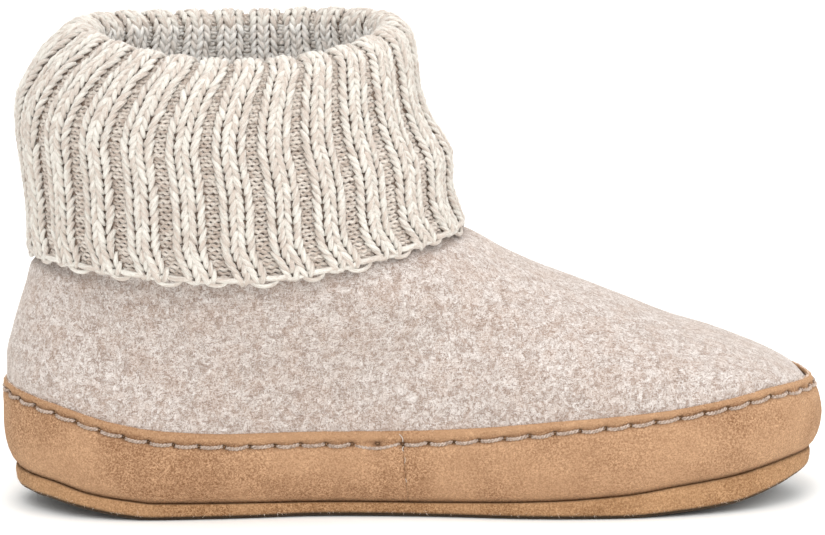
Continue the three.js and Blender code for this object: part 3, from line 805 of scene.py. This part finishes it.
def rand():
    edge = rand_join_gap / 2 / (math.pi * shoe_length * abs(math.sin(FULL * join_turn)))
    turn = join_turn + np.linspace(edge, 1 - edge, rand_columns)
    rise = np.concatenate([np.linspace(0, 0.68, 8), np.linspace(0.71, 0.96, 17), [0.98, 0.995]])
    t, r = np.meshgrid(turn, rise)
    inward, trough_shade, lip, hole = rand_relief(t, r, at_of_turn(t))
    near_top = smooth((1 - r) / edge_zone)
    depth = inward * mix(1 - edge_rounding, 1.0, near_top) + edge_rounding * (1 - near_top)
    outer = rand_point(slanted(t, r), r, depth)
    outer[..., 2] += r * sum(h * lumps(outer, size, k) for k, (h, size) in enumerate(rand_waves, 11))
    tb, rb = np.meshgrid(turn, rise[::-4])
    back = rand_point(slanted(tb, rb), rb, np.full(rb.shape, rand_thickness))
    section = np.concatenate([outer, back])
    count = len(section)
    verts = section.transpose(1, 0, 2).reshape(-1, 3)
    faces = grid_faces(rand_columns, count)[:, ::-1].tolist()
    faces += [list(range(count)), list(range((rand_columns - 1) * count, rand_columns * count))[::-1]]

    def spread(values):
        return np.concatenate([values, np.zeros(rb.shape)]).T.ravel()
    # the trough and hole masks carry painted shade into the suede's colour
    attributes = {"trough_shade": spread(trough_shade), "hole": spread(hole), "lip": spread(lip * smooth((r - 0.5) * 4))}
    obj = make("rand_suede", verts, faces, suede, attributes)
    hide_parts("rand")


def rand_stitches():
    """Two-ply thread in the trough. Each stitch comes out of its hole, sags and climbs to the next one."""
    total = stitch_run[-1]
    pitch = total / stitch_count
    count = stitch_count - 1
    start = np.arange(count)[:, None] * pitch
    length = np.full((count, 1), pitch)
    sag = rng.uniform(*stitch_sag, (count, 1))
    length[-1], sag[-1] = 2 * pitch, long_stitch_sag
    t = np.linspace(stitch_end, 1 - stitch_end, stitch_steps)[None, :]
    place = start + t * length
    turn = np.interp(place % total, stitch_run, stitch_turns)
    at = at_of_turn(turn)
    arch = np.sin(math.pi * t)
    rise = stitch_rise(at) + (stitch_tilt * (t - 0.5) - sag * arch) / (rand_top(at) - seat_height(at))
    centre = rand_point(turn, rise, thread_dip - (thread_dip + thread_out) * arch ** 0.5)
    outward = rand_point(turn, rise, np.full_like(turn, -1.0)) - rand_point(turn, rise, np.zeros_like(turn))
    side = unit(np.cross(np.gradient(centre, axis=1), outward))
    plies = []
    for half in (0, math.pi):
        angle = (place / thread_twist * FULL + half)[..., None]
        path = centre + (side * np.cos(angle) + outward * np.sin(angle)) * thread_radius
        plies.append(tubes(path, outward, thread_radius * np.clip(arch * 3, 0.6, 1), 6)[:2])
    obj = make("rand_stitches", *joined(plies), thread)


# Bits of the join's thread: both ends as shares of the rand's height above the stitch line, then millimetres
join_bits = table("start end across bow radius", [
    (0.134, 0.03, -0.9, 0.5, 0.13), (-0.03, -0.09, 0.2, -0.4, 0.13), (-0.17, -0.25, 0.3, 0.2, 0.07),
    (-0.466, -0.516, -0.2, 0.2, 0.07)])


def join_stitches():
    """Ends of the light thread that joins the rand: one over the lip and a few loose bits below."""
    t = np.linspace(0, 1, 14)
    hole = stitch_rise(rand_join_at)
    parts = []
    for k, start in enumerate(join_bits["start"]):
        end, across, bow, radius = (join_bits[column][k] for column in ("end", "across", "bow", "radius"))
        rise = hole + mix(start, end, t)
        sideways = across * (1 - t) + bow * np.sin(math.pi * t)
        turn = slanted(join_turn + sideways / (math.pi * shoe_length), rise)
        path = rand_point(turn, rise, 0.05 - 0.25 * np.sin(math.pi * t))
        up = rand_point(turn, rise, np.full_like(t, -1.0)) - rand_point(turn, rise, np.zeros_like(t))
        parts.append(tubes(path[None], up[None], radius, 6)[:2])
    obj = make("join_thread", *joined(parts), light_thread)


# Creases in the felt: each end by its share of the length and its height, then the side of the foot that it
# lies on, its width and its depth in millimetres
creases = table("at0 z0 at1 z1 side width depth", [
    (0.165, 78, 0.22, 50, -1, 7.0, 0.9), (0.235, 84, 0.28, 60, -1, 9.0, -0.5),
    (0.10, 70, 0.13, 46, -1, 8.0, 0.5), (0.50, 74, 0.60, 52, -1, 11.0, 0.6),
    (0.165, 78, 0.24, 48, 1, 8.0, 0.9), (0.50, 76, 0.60, 50, 1, 11.0, 0.7),
    (0.40, 78, 0.44, 52, 1, 9.0, -0.4)])


def crease_depth(p):
    at, z = p[..., 0] / shoe_length + 0.5, p[..., 2]
    total = np.zeros(at.shape)
    for i in range(len(creases["at0"])):
        c = {key: values[i] for key, values in creases.items()}
        dx, dz = (c["at1"] - c["at0"]) * shoe_length, c["z1"] - c["z0"]
        px, pz = (at - c["at0"]) * shoe_length, z - c["z0"]
        t = np.clip((px * dx + pz * dz) / (dx * dx + dz * dz), 0, 1)
        away = np.hypot(px - t * dx, pz - t * dz)
        on_side = np.clip(0.5 + p[..., 1] * c["side"] / 12, 0, 1)
        fading = np.sin(math.pi * mix(0.15, 0.85, t)) * on_side
        total += c["depth"] * np.exp(-(away / c["width"]) ** 2 * 2) * fading
    return total


def surface_normals(grid):
    """Outward normals of a grid of rows that rise and columns that go round."""
    round_ = np.roll(grid, -1, axis=1) - np.roll(grid, 1, axis=1)
    normal = np.cross(round_, np.gradient(grid, axis=0))
    return normal / np.maximum(np.linalg.norm(normal, axis=-1, keepdims=True), 1e-9)


felt_turn = np.arange(felt_columns) / felt_columns


def felt_upper():
    turn = felt_turn[None, :]
    meet = rand_thickness + clearance
    under = rand_tuck + meet + lasting_margin
    rises = np.array([0, 0.05, 0.1, 0.2, 0.35, 0.5, 0.65, 0.8, 0.9])
    top = felt_rings["at"][-1]
    rows = np.linspace(0, top, felt_rows)
    outer = felt_surface(rows, felt_turn, 0.0)
    normal = surface_normals(outer)
    push = -crease_depth(outer) + 0.3 * lumps(outer, 30.0, 21) + 0.12 * lumps(outer, 9.0, 22)
    clear_of_edges = smooth(rows / 0.8) * smooth((top - rows) / 0.6)
    outer = outer + normal * (push * clear_of_edges[:, None])[..., None]
    inner = felt_surface(np.linspace(0, top, lining_rows), felt_turn, felt_wall)

    def low(depth, lowest):
        shape = (len(rises), len(felt_turn))
        return rand_point(np.broadcast_to(turn, shape), np.broadcast_to(rises[:, None], shape),
                          np.full(shape, depth), lowest)

    def inner_seat(at):
        return seat_height(at) + felt_wall
    margins = (0.0, 0.5)
    outside = [flat_ring(felt_turn, mix(under, rand_tuck + meet, m), seat_height) for m in margins]
    inside = [flat_ring(felt_turn, mix(under, rand_tuck + meet + felt_wall, m), inner_seat) for m in margins]
    rings = np.concatenate([outside, low(meet, seat_height), outer,
                            inner[::-1], low(meet + felt_wall, inner_seat)[::-1], inside[::-1]])
    faces = grid_faces(len(rings), len(felt_turn), close_rows=True).tolist()
    obj = make("felt_upper", rings.reshape(-1, 3), faces, felt)
    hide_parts("upper")
    return outer, surface_normals(outer)


def scatter(points, normals, count, rows=None):
    """Random places on a grid of points, with their normals."""
    r = rng.integers(0, points.shape[0] - 1, count) if rows is None else rng.choice(rows, count)
    c = rng.integers(0, points.shape[1], count)
    c1 = (c + 1) % points.shape[1]
    u, v = rng.uniform(0, 1, (2, count, 1))
    p = mix(mix(points[r, c], points[r, c1], u), mix(points[r + 1, c], points[r + 1, c1], u), v)
    return p, normals[r, c]


def stray(up, least, spread):
    """Directions of loose hairs: some upright and some lying, to every side."""
    return unit(up * rng.uniform(least, 1.0, (len(up), 1)) + rng.normal(0, spread, up.shape))


def felt_fuzz(points, normals):
    roots, up = scatter(points, normals, 9500)
    lean = stray(up, 0.25, 0.6)
    verts, faces = hairs(roots - up * 0.1, lean, rng.uniform(0.5, 1.7, len(roots)), hair_width, 0.5)
    obj = make("felt_fuzz", verts, faces, wool_fibre)


def insole():
    under = rand_tuck + rand_thickness + clearance + lasting_margin + clearance
    low = rand_tuck + rand_thickness + felt_wall + 3 * clearance
    high = low - rand_tuck / 2

    def seat(at):
        return seat_height(at) + felt_wall + clearance
    rings = [flat_ring(felt_turn, under, seat_height), flat_ring(felt_turn, under, seat),
             flat_ring(felt_turn, low, seat)]
    for s in (0.2, 0.4, 0.6, 0.8, 1.0):
        inset = mix(low, high, s) + insole_rounding * s ** 4
        lift = (insole_thickness - insole_give) * s
        rings.append(flat_ring(felt_turn, inset, lambda at, lift=lift: seat(at) + lift))
    verts = np.array(rings)
    faces = grid_faces(len(rings), felt_columns).tolist()
    faces += [f[::-1] for f in bar_faces(0, felt_columns)]
    faces += bar_faces((len(rings) - 1) * felt_columns, felt_columns)
    obj = make("insole_felt", verts.reshape(-1, 3), faces, insole_felt)
    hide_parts("insole")


# Body of the knit: rings and points of each rib, heights over its middle surface in millimetres, and half
# the flank of a rib as a share of its pitch
base_rows = 90
rib_points = 10
base_rise = 0.2
base_step = 1.2
base_depth = 1.6
base_flank = 0.03


def cuff_base():
    """The body of the knit under its stitches, stepped in between the ribs; its dark taupe is partly painted
    shade where it shows between the stitches.
    """
    courses = np.linspace(0, course_count, base_rows)[:, None]
    valley = valley_at(courses)
    share = np.arange(rib_points) / rib_points
    low = smooth((valley / 2 - np.abs(valley / 2 - share)) / (2 * base_flank) + 0.5)
    shares = np.tile(share, rib_count)[None, :]
    ribs = np.repeat(np.arange(rib_count), rib_points)[None, :]
    low = np.tile(low, (1, rib_count))
    face, _ = on_cuff(courses, ribs, shares, base_rise - base_step * low)
    back, _ = on_cuff(courses, ribs, shares, np.full_like(low, -base_depth))
    rings = np.concatenate([face, back[::-3]])
    faces = grid_faces(len(rings), face.shape[1], close_rows=True).tolist()
    obj = make("cuff_base", rings.reshape(-1, 3), faces, knit_back_taupe_and_shade)
    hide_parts("cuff")


# Legs of a plain stitch: where the foot lies and how far a leg climbs, in courses, how far it stands from the
# middle of its wale, as a share of the wale, and its heights over the middle surface in millimetres
leg_foot = 1.35
leg_climb = 1.85
leg_apart = 0.10
leg_spread = 0.40
leg_lift = 0.1
leg_bow = 0.8
rib_crown = 0.55


def knit_wales(name, first, last, steps, sides, yarn_material):
    """Plain stitches: two legs that rise from the foot of a V and lean out to either side of their wale."""
    courses = np.arange(first, last)
    c, rib, wale, leg = (g.ravel() for g in np.meshgrid(
        courses, np.arange(rib_count), np.arange(wale_count), (-1, 1), indexing="ij"))
    t = np.linspace(0, 1, steps)[None, :]
    jitter = rng.normal(0, 1, (4, len(c), 1))
    down = c[:, None] + leg_foot - leg_climb * t + 0.07 * jitter[0]
    across = leg[:, None] * (leg_apart + leg_spread * t) * (1 + 0.06 * jitter[1]) + 0.02 * jitter[2]
    valley = valley_at(down)
    share = valley + (1 - valley) * (wale[:, None] + 0.5 + across) / wale_count
    crown = rib_crown * (1 - (2 * ((share - valley) / (1 - valley)) - 1) ** 2)
    lift = leg_lift + leg_bow * np.sin(math.pi * t) ** 0.7 + crown + 0.06 * jitter[3]
    path, normal = on_cuff(down, rib[:, None], share, lift)
    thick = yarn_radius * (0.55 + 0.45 * np.sin(math.pi * np.clip(0.12 + 0.8 * t, 0, 1)))
    v, f, yarn = tubes(path, normal, thick * (1 + 0.08 * jitter[0]), sides, 0.85)
    obj = make(name, v, f, yarn_material, {"yarn": yarn})


# Strands of a purl stitch: their wave in courses, and their heights over the middle surface in millimetres
purl_wave = 0.13
purl_lift = -0.5
purl_bow = 0.2


def purl_rows(name, first, last, steps, sides, yarn_material):
    """Back stitches between the ribs: wavy strands across the valley, two to a course."""
    courses = np.arange(first * 2, last * 2) / 2
    c, rib = (g.ravel() for g in np.meshgrid(courses, np.arange(rib_count), indexing="ij"))
    t = np.linspace(-0.1, 1.1, steps)[None, :]
    jitter = rng.normal(0, 1, (3, len(c), 1))
    phase = np.where((c * 2).astype(int) % 2 == 0, 0.0, math.pi)[:, None]
    wave = FULL * 2 * t + phase
    down = c[:, None] + 0.5 + purl_wave * np.sin(wave + 0.3 * jitter[0]) + 0.04 * jitter[1]
    share = valley_at(c[:, None]) * t
    lift = purl_lift + purl_bow * np.sin(wave + 1.2) + 0.12 * jitter[2] - 0.25 * np.abs(2 * t - 1) ** 3
    path, normal = on_cuff(down, rib[:, None], share, lift)
    v, f, yarn = tubes(path, normal, purl_radius * (1 + 0.08 * jitter[0]), sides, 0.8)
    obj = make(name, v, f, yarn_material, {"yarn": yarn})


# Loops of the cast-off edge: place in the rib's pitch, width in pitches, drop in millimetres and thickness
hem_loops = table("share width drop thick", [
    (0.20, 0.54, 0.5, 1.0), (0.95, 0.50, 2.5, 0.75), (0.50, 0.34, 1.3, 0.8), (0.72, 0.30, 1.0, 0.8)])


def hem_edge():
    rows = np.arange(len(hem_loops["share"]))
    rib, row = (g.ravel() for g in np.meshgrid(np.arange(rib_count), rows, indexing="ij"))
    jitter = rng.normal(0, 1, (3, len(rib), 1))
    t = np.linspace(-1, 1, 12)[None, :]
    width = hem_loops["width"][row][:, None] * (1 + 0.1 * jitter[0])
    drop = hem_loops["drop"][row][:, None] * (1 + 0.18 * jitter[1])
    sideways = width / 2 * np.sin(t * math.pi / 2) * (1 - 0.15 * t ** 4)
    share = hem_loops["share"][row][:, None] + sideways + 0.02 * jitter[2]
    fall = (drop * np.cos(t * math.pi / 2) - 1.0) / course_pitch
    lift = 0.55 + 0.5 * np.cos(t * math.pi / 2)
    path, normal = on_cuff(course_count + fall, rib[:, None], share, lift)
    v, f, yarn = tubes(path, normal, yarn_radius * hem_loops["thick"][row][:, None], 7)
    obj = make("hem_loops", v, f, knit_yarn, {"yarn": yarn})


def cuff_fuzz():
    outside = np.arange(60, CUFF_STEPS - 1)
    roots, up = scatter(cuff_line, cuff_normal, 13000, outside)
    lean = stray(up, 0.2, 0.6)
    verts, faces = hairs(roots + up * 1.3, lean, rng.uniform(0.8, 3.0, len(roots)), hair_width, 0.6)
    obj = make("cuff_fuzz", verts, faces, wool_fibre)


def suede_fuzz():
    """Loose fibres along the lower edge of the outsole and the cut top edge of the rand."""
    count = 700
    turn = rng.uniform(0, 1, count)
    height = rng.uniform(1.4, 2.4, count)
    roots = flat_ring(turn, sole_inset + 0.3, sole_bottom)
    out = flat_ring(turn, sole_inset - 0.7, sole_bottom) - roots
    roots[:, 2] += height
    lean = unit(out + rng.normal(0, 0.55, out.shape) - np.array([0, 0, 0.25]))
    along_sole = hairs(roots, lean, rng.uniform(0.3, 1.3, count), 0.10, 0.4)
    along_sole[0][:, 2] = np.maximum(along_sole[0][:, 2], 0.02)
    count = 3000
    turn = rng.uniform(0, 1, count)
    roots = rand_point(turn, np.full(count, 0.997), rng.uniform(0.3, 1.3, count))
    lean = unit(rng.normal(0, 0.5, roots.shape) + np.array([0, 0, 0.8]))
    along_rand = hairs(roots, lean, rng.uniform(0.25, 0.9, count), 0.09, 0.4)
    obj = make("suede_fuzz", *joined([along_sole, along_rand]), suede_fibre)


outsole()
rand()
rand_stitches()
join_stitches()
insole()
felt_points, felt_normals = felt_upper()
felt_fuzz(felt_points, felt_normals)
cuff_base()
middle_course = (crest_course + course_count) // 2
knit_wales("knit_inside", 0, crest_course - 2, 5, 5, inside_yarn_painted_light)
knit_wales("knit_over_crest", crest_course - 2, middle_course, 7, 7, knit_yarn)
knit_wales("knit_to_hem", middle_course, course_count, 7, 7, knit_yarn)
purl_rows("purl_inside", 0, crest_course - 2, 5, 4, inside_yarn_painted_light)
purl_rows("purl_outside", crest_course - 2, course_count, 9, 5, purl_yarn_painted_shade)
hem_edge()
cuff_fuzz()
suede_fuzz()


# Floor, light and camera
def floor():
    mesh = bpy.data.meshes.new("floor")
    reach = 6.0
    corners = [(-reach, -reach, 0), (reach, -reach, 0), (reach, reach, 0), (-reach, reach, 0)]
    mesh.from_pydata(corners, [], [(0, 1, 2, 3)])
    look = Look("floor", 1.0, 0.0, srgb(255, 255, 255))
    look.colour(srgb(250, 250, 248))
    mesh.materials.append(look.material)
    obj = bpy.data.objects.new("floor", mesh)
    bpy.context.scene.collection.objects.link(obj)


def soft_light(name, place, aim, size, power):
    """A large lamp in metres and watts that faces the shoe at the height of its aim."""
    light = bpy.data.lights.new(name, "AREA")
    light.shape = "RECTANGLE"
    light.size, light.size_y = size
    light.energy = power
    obj = bpy.data.objects.new(name, light)
    obj.location = place
    direction = Vector((0, 0, aim)) - Vector(place)
    obj.rotation_mode = "QUATERNION"
    obj.rotation_quaternion = direction.to_track_quat("-Z", "Y")
    bpy.context.scene.collection.objects.link(obj)


def camera(azimuth, elevation, distance, target, span):
    """A camera that looks at the target from so far away. span is the width that it sees there, in metres."""
    a, e = math.radians(azimuth), math.radians(elevation)
    back = Vector((math.sin(a) * math.cos(e), -math.cos(a) * math.cos(e), math.sin(e)))
    data = bpy.data.cameras.new("camera")
    data.sensor_width = 36.0
    data.lens = 36.0 * distance / span
    data.clip_start, data.clip_end = 0.05, 50.0
    obj = bpy.data.objects.new("camera", data)
    obj.location = Vector(target) + back * distance
    obj.rotation_mode = "QUATERNION"
    obj.rotation_quaternion = (-back).to_track_quat("-Z", "Y")
    bpy.context.scene.collection.objects.link(obj)
    bpy.context.scene.camera = obj


floor()
soft_light("key", (-0.5, -1.6, 1.8), 0.06, (1.6, 1.6), 24.0)
soft_light("fill", (1.5, -1.0, 1.1), 0.06, (1.2, 1.2), 12.0)
soft_light("back", (0.2, 1.6, 1.4), 0.08, (1.6, 1.0), 12.0)
soft_light("top", (-0.1, -0.3, 2.2), 0.08, (1.2, 1.2), 14.0)
world = bpy.data.worlds.new("world")
bpy.context.scene.world = world
world.use_nodes = True
world.node_tree.nodes["Background"].inputs["Color"].default_value = (1, 1, 1, 1)
world.node_tree.nodes["Background"].inputs["Strength"].default_value = 0.8
bpy.context.scene.view_settings.view_transform = "Standard"
camera(-5.2, 12.0, 2.2, (0.0, 0.0, 0.0745), 0.2665)
